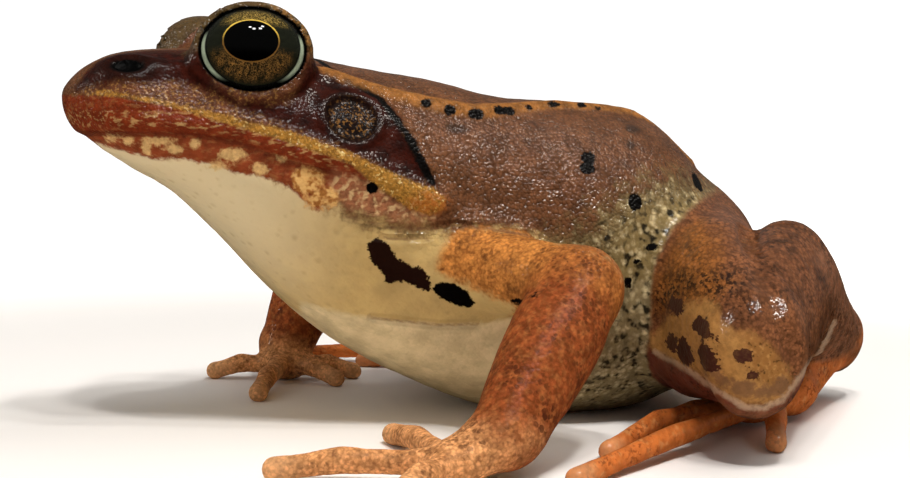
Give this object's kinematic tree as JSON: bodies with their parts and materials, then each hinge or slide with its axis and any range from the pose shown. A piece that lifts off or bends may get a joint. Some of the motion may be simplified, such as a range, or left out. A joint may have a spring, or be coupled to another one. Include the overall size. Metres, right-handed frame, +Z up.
{
  "type": "wood frog",
  "caption": "Life-size still model of a wood frog that sits with folded hind legs and spread toes, with large eyes, round eardrums and ridges along the back",
  "frame": {"origin": "On the flat of the belly that rests on the floor, on the animal's midline, near the middle of its length", "axes": "-Y is forward, out of the snout; +Z is up; +X is the frog's left side"},
  "size_m": [0.0512, 0.0574, 0.0273],
  "materials": {
    "back_skin": "moist, finely granular skin, red-brown to grey-brown",
    "pale_skin": "moist, smooth cream skin",
    "limb_skin": "moist, finely granular orange-brown skin with dark flecks",
    "eye": "clear wet cornea over a bronze iris and a black pupil"
  },
  "bodies": {
    "root": {"head": "back_skin", "lower_jaw": "pale_skin", "torso": "back_skin", "eye_left": "eye", "eye_right": "eye", "upper_arm_left": "limb_skin", "upper_arm_right": "limb_skin", "forearm_left": "limb_skin", "forearm_right": "limb_skin", "hand_left": "limb_skin", "hand_right": "limb_skin", "thigh_left": "limb_skin", "thigh_right": "limb_skin", "shank_left": "limb_skin", "shank_right": "limb_skin", "tarsus_left": "limb_skin", "tarsus_right": "limb_skin", "foot_left": "limb_skin", "foot_right": "limb_skin"}
  },
  "joints": []
}
